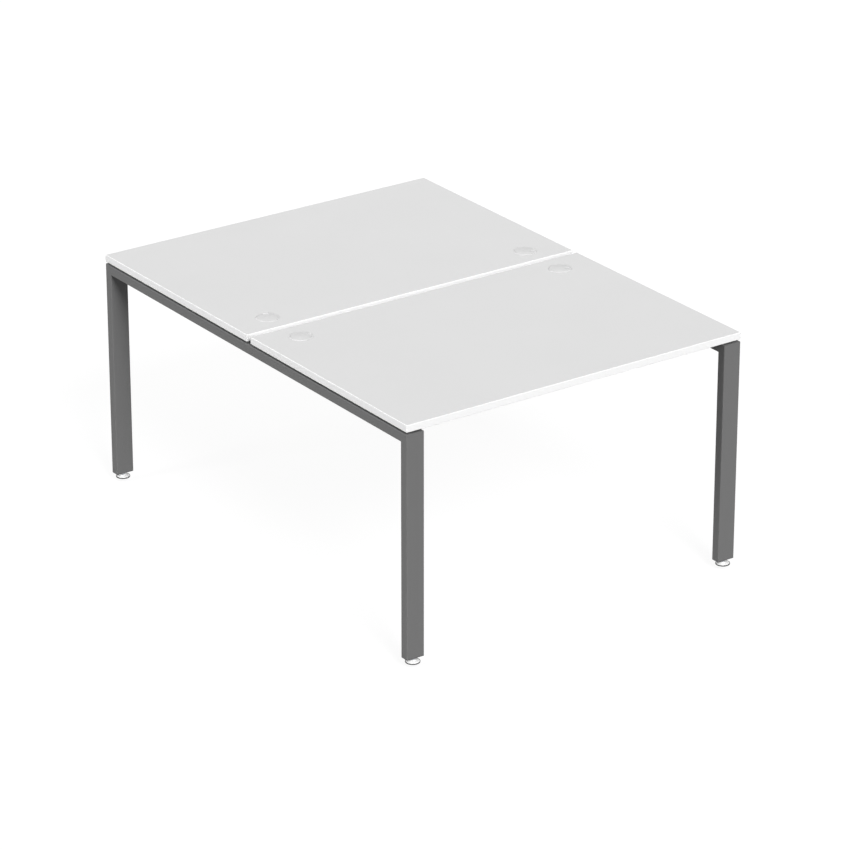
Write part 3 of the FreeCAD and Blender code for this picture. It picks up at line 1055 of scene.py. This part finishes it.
@dataclass
class FrameJoints:
    """Weld beads, end plate bolts and worktop screws of the steel frame, in metres."""

    finishes: Finishes
    bead_radius: float = 2.6 * MM
    bead_ripple: float = 2.2 * MM
    bead_swell: float = 1.22
    bead_sides: int = 12
    bead_smooth_deg: float = 60.0
    bolt_flats: float = 13.0 * MM
    bolt_head: float = 5.3 * MM
    bolt_washer: float = 0.6 * MM
    # Width of the head's round faces as a share of its flats
    bolt_face_share: float = 0.95
    bolt_radius: float = 4.0 * MM
    bolt_offset: float = 13.0 * MM
    bolt_reach: float = 14.0 * MM
    screw_head_radius: float = 6.5 * MM
    screw_head: float = 3.6 * MM
    screw_rim: float = 0.5 * MM
    screw_dome_deg: float = 75.0
    screw_dome_steps: int = 8
    screw_radius: float = 3.0 * MM
    screw_grip: float = 12.0 * MM
    socket_flats: float = 4.0 * MM
    socket_depth: float = 2.4 * MM
    rail_fixing_inset: float = 70.0 * MM
    beam_fixing_spacing: float = 600.0 * MM
    round_steps: int = 48

    def build(self) -> None:
        """Model the beads, bolts and screws."""
        self.beam_beads()
        self.bolts()
        self.screws()

    def bead(self, name: str, length: float) -> Piece:
        """Extrude a disc step by step along X and swell every other step, as a weld ripples.

        Args:
            name: Name of the piece.
            length: Length of the bead.

        Returns:
            The bead, centred on the origin.
        """
        ripples = max(2, round(length / self.bead_ripple))
        step = length / ripples / 2
        Bench.clear_selection()
        bpy.ops.mesh.primitive_circle_add(
            vertices=self.bead_sides,
            radius=self.bead_radius,
            fill_type="NGON",
            location=(-length / 2, 0, 0),
            rotation=(0, math.pi / 2, 0),
        )
        bead = Bench.named(name)
        bpy.ops.object.mode_set(mode="EDIT")
        bpy.ops.mesh.select_mode(type="FACE")
        bpy.ops.mesh.select_all(action="SELECT")
        for index in range(2 * ripples):
            bpy.ops.mesh.extrude_region_move(TRANSFORM_OT_translate={"value": (step, 0, 0)})
            swell = self.bead_swell if index % 2 == 0 else 1 / self.bead_swell
            bpy.ops.transform.resize(value=(1, swell, swell))
        Bench.close_up()
        Bench.smooth(bead, self.bead_smooth_deg)
        return bead

    def beam_beads(self) -> None:
        """Lay a bead along each side of each beam, on its end plate."""
        low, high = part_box("beam_front_inner")
        size = high - low
        level = self.bead("level_bead_master", size.y - 2 * self.bead_radius)
        upright = self.bead("upright_bead_master", size.z - 2 * self.bead_radius)
        beads = []
        for beam in BEAMS:
            low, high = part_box(beam)
            middle = (low + high) / 2
            for x in (low.x, high.x):
                for z in (low.z, high.z):
                    place = Vector((x, middle.y, z))
                    beads.append(Bench.copy(level, "level_bead", place, turn_deg=90))
                for y in (low.y, high.y):
                    place = Vector((x, y, middle.z))
                    beads.append(Bench.copy(upright, "upright_bead", place, turn_deg=90, axis=Axis.Y))
        Bench.discard(level, upright)
        joined = Bench.join(beads, "beam_weld_beads")
        settle(joined, DESK_BODY, Slot.FRAME_PAINT, self.finishes)

    def bolts(self) -> None:
        """Copy a chamfered hexagon bolt to both ends of every end plate."""
        master = self.bolt()
        plate_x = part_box("beam_front_inner")[1].x
        bolts = []
        for beam in BEAMS:
            low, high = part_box(beam)
            middle = (low + high) / 2
            for side in Side:
                outwards_deg = side.value * 90
                for y in (low.y - self.bolt_offset, high.y + self.bolt_offset):
                    place = Vector((side.value * plate_x, y, middle.z))
                    bolts.append(Bench.copy(master, "end_plate_bolt", place, outwards_deg, Axis.Y))
        Bench.discard(master)
        joined = Bench.join(bolts, "fine_beam_bolts")
        settle(joined, DESK_BODY, Slot.ZINC_STEEL, self.finishes, "beam_bolts")

    def bolt(self) -> Piece:
        """Cut a hexagon head with a cone, over a washer face and a shank.

        Returns:
            The bolt, its shank along +Z and the plate's face at height 0.
        """
        corner = hexagon_corner(self.bolt_flats)
        face = self.bolt_face_share * self.bolt_flats / 2
        rise = chamfer_rise(self.bolt_flats)
        head = Bench.disc_bar("bolt_head", HEXAGON, corner, -self.bolt_head, -self.bolt_washer)
        outline = [
            (0, -self.bolt_head),
            (face, -self.bolt_head),
            (corner, -self.bolt_head + 2 * rise),
            (corner, 0),
            (0, 0),
        ]
        Bench.combine(head, Bench.lathe("chamfer_tool", outline, self.round_steps), "INTERSECT")
        shank_outline = [
            (0, -self.bolt_washer),
            (face, -self.bolt_washer),
            (face, 0),
            (self.bolt_radius, 0),
            (self.bolt_radius, self.bolt_reach),
            (0, self.bolt_reach),
        ]
        shank = Bench.lathe("bolt_shank", shank_outline, self.round_steps)
        bolt = Bench.join([head, shank], "end_plate_bolt_master")
        Bench.smooth(bolt)
        return bolt

    def screws(self) -> None:
        """Copy a domed socket screw under every fixing of the worktops."""
        master = self.screw()
        near_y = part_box("rear_top_front_edge")[0].y
        far_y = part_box("rear_top_rear_edge")[1].y
        screws = []
        for end in End:
            for side in Side:
                rail = side.name.lower() + "_rail"
                for y in (near_y + self.rail_fixing_inset, far_y - self.rail_fixing_inset):
                    place = Vector((node_middle(rail).x, end.value * y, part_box(rail)[0].z))
                    screws.append(Bench.copy(master, "worktop_screw", place))
                for line in BEAM_LINES:
                    beam = beam_node(end, line)
                    x = side.value * self.beam_fixing_spacing / 2
                    place = Vector((x, node_middle(beam).y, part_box(beam)[0].z))
                    screws.append(Bench.copy(master, "worktop_screw", place))
        Bench.discard(master)
        joined = Bench.join(screws, "fine_top_screws")
        settle(joined, DESK_BODY, Slot.ZINC_STEEL, self.finishes, "top_screws")

    def screw(self) -> Piece:
        """Spin a domed head with its shank and cut the hexagon socket.

        Returns:
            The screw, its shank along +Z and the steel's underside at height 0.
        """
        shank_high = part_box("front_top")[0].z + self.screw_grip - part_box("left_rail")[0].z
        crown = self.screw_head - self.screw_rim
        dome = math.radians(self.screw_dome_deg)
        outline = [(0, -self.screw_head)]
        for index in range(1, self.screw_dome_steps + 1):
            turn = dome * index / self.screw_dome_steps
            radius = self.screw_head_radius * math.sin(turn) / math.sin(dome)
            height = crown * (1 - math.cos(turn)) / (1 - math.cos(dome))
            outline.append((radius, -self.screw_head + height))
        outline += [
            (self.screw_head_radius, 0),
            (self.screw_radius, 0),
            (self.screw_radius, shank_high),
            (0, shank_high),
        ]
        screw = Bench.lathe("worktop_screw_master", outline, self.round_steps)
        socket = Bench.disc_bar(
            "socket_tool",
            HEXAGON,
            hexagon_corner(self.socket_flats),
            -self.screw_head - self.socket_depth,
            -self.screw_head + self.socket_depth,
        )
        Bench.combine(screw, socket, "DIFFERENCE")
        Bench.smooth(screw)
        return screw


# Floor, light and camera


@dataclass(frozen=True)
class SoftLight:
    """A broad soft light, given by where it comes from: 0 is the front and -90 is the left."""

    name: str
    strength: float
    azimuth_deg: float
    elevation_deg: float
    softness_deg: float

    def build(self) -> None:
        """Add the light to the scene."""
        turn = (math.radians(90 - self.elevation_deg), 0, math.radians(self.azimuth_deg))
        Bench.clear_selection()
        bpy.ops.object.light_add(type="SUN", rotation=turn)
        lamp = bpy.context.active_object
        lamp.name = self.name
        lamp.data.energy = self.strength
        lamp.data.angle = math.radians(self.softness_deg)


@dataclass
class Studio:
    """White floor, soft light and the photograph's camera."""

    floor_size: float = 60.0
    # Just under the longest reach of the feet, so that a foot screwed right out stays in view
    floor_level: float = -15.2 * MM
    white: str = "FFFFFF"
    # The floor glows nearly white by itself and gives back a little light, which keeps its shadow faint
    floor_share: float = 0.15
    floor_glow: float = 0.89
    sky_strength: float = 0.45
    ground_strength: float = 0.08
    # Sine of the angle to both sides of the horizon over which sky and ground blend
    horizon_blend: float = 0.15
    front_light: SoftLight = SoftLight(
        "front_light", strength=0.55, azimuth_deg=6.0, elevation_deg=8.0, softness_deg=40.0
    )
    key_light: SoftLight = SoftLight(
        "key_light", strength=2.12, azimuth_deg=-13.0, elevation_deg=38.0, softness_deg=20.0
    )
    side_light: SoftLight = SoftLight(
        "side_light", strength=1.28, azimuth_deg=-95.0, elevation_deg=24.0, softness_deg=18.0
    )
    camera_place: tuple[float, float, float] = (-6.755, -9.627, 5.419)
    camera_yaw_deg: float = 35.191
    camera_pitch_deg: float = 23.459
    camera_lens_mm: float = 177.88
    camera_reach: float = 200.0

    def build(self) -> None:
        """Set up the floor, the light and the camera."""
        bpy.context.scene.view_settings.view_transform = "Standard"
        self.floor()
        self.sky()
        for light in (self.front_light, self.key_light, self.side_light):
            light.build()
        self.camera()

    def floor(self) -> None:
        """Lay a white floor that keeps a soft shadow and can be seen through from below."""
        Bench.clear_selection()
        bpy.ops.mesh.primitive_plane_add(size=self.floor_size, location=(0, 0, self.floor_level))
        floor = Bench.named("studio_floor")
        material = bpy.data.materials.new("white_studio_floor")
        material.use_nodes = True
        tree = material.node_tree
        tree.nodes.clear()
        share = (self.floor_share, self.floor_share, self.floor_share, 1.0)
        shaded = add_node(tree, "ShaderNodeBsdfDiffuse", {"Color": share})
        shine = {"Color": linear(self.white), "Strength": self.floor_glow}
        glow = add_node(tree, "ShaderNodeEmission", shine)
        both = {0: shaded.outputs[0], 1: glow.outputs[0]}
        surface = add_node(tree, "ShaderNodeAddShader", links=both)
        below = add_node(tree, "ShaderNodeNewGeometry").outputs["Backfacing"]
        opening = add_node(tree, "ShaderNodeBsdfTransparent")
        sides = {0: below, 1: surface.outputs[0], 2: opening.outputs[0]}
        one_sided = add_node(tree, "ShaderNodeMixShader", links=sides)
        add_node(tree, "ShaderNodeOutputMaterial", links={"Surface": one_sided.outputs[0]})
        floor.data.materials.append(material)
        floor.visible_diffuse = False
        floor.visible_shadow = False

    def sky(self) -> None:
        """Surround the desk with white that lights it from all sides, less from below."""
        world = bpy.data.worlds.new("white_studio")
        world.use_nodes = True
        bpy.context.scene.world = world
        tree = world.node_tree
        tree.nodes.clear()
        white = linear(self.white)
        towards = add_node(tree, "ShaderNodeTexCoord").outputs["Generated"]
        height = add_node(tree, "ShaderNodeSeparateXYZ", links={"Vector": towards}).outputs["Z"]
        limits = {
            "From Min": -self.horizon_blend,
            "From Max": self.horizon_blend,
            "To Min": self.ground_strength,
            "To Max": self.sky_strength,
        }
        strength = add_node(tree, "ShaderNodeMapRange", limits, {"Value": height}).outputs["Result"]
        light = add_node(tree, "ShaderNodeBackground", {"Color": white}, {"Strength": strength})
        # What the camera sees and what the desk mirrors is plain white
        plain = add_node(tree, "ShaderNodeBackground", {"Color": white, "Strength": 1.0})
        ray = add_node(tree, "ShaderNodeLightPath").outputs
        either = {"operation": "MAXIMUM"}
        bounced = {0: ray["Is Glossy Ray"], 1: ray["Is Transmission Ray"]}
        mirrored = add_node(tree, "ShaderNodeMath", either, bounced).outputs[0]
        showing = {0: ray["Is Camera Ray"], 1: mirrored}
        seen = add_node(tree, "ShaderNodeMath", either, showing).outputs[0]
        backgrounds = {0: seen, 1: light.outputs[0], 2: plain.outputs[0]}
        surface = add_node(tree, "ShaderNodeMixShader", links=backgrounds)
        add_node(tree, "ShaderNodeOutputWorld", links={"Surface": surface.outputs[0]})

    def camera(self) -> None:
        """Put the camera where the photograph was taken from."""
        Bench.clear_selection()
        turn = (math.radians(90 - self.camera_pitch_deg), 0, math.radians(-self.camera_yaw_deg))
        bpy.ops.object.camera_add(location=self.camera_place, rotation=turn)
        camera = bpy.context.active_object
        camera.name = "photo_camera"
        camera.data.lens = self.camera_lens_mm
        camera.data.clip_end = self.camera_reach
        bpy.context.scene.camera = camera


def main() -> None:
    """Dress the frame, model the finer pieces and set up the studio."""
    logging.basicConfig(level=logging.INFO, format="%(name)s: %(message)s")
    finishes = Finishes()
    finishes.dress_frame()
    for assembly in (LevellingFoot(finishes), CableGrommet(finishes), FrameJoints(finishes)):
        assembly.build()
    Studio().build()


if __name__ == "__main__":
    main()
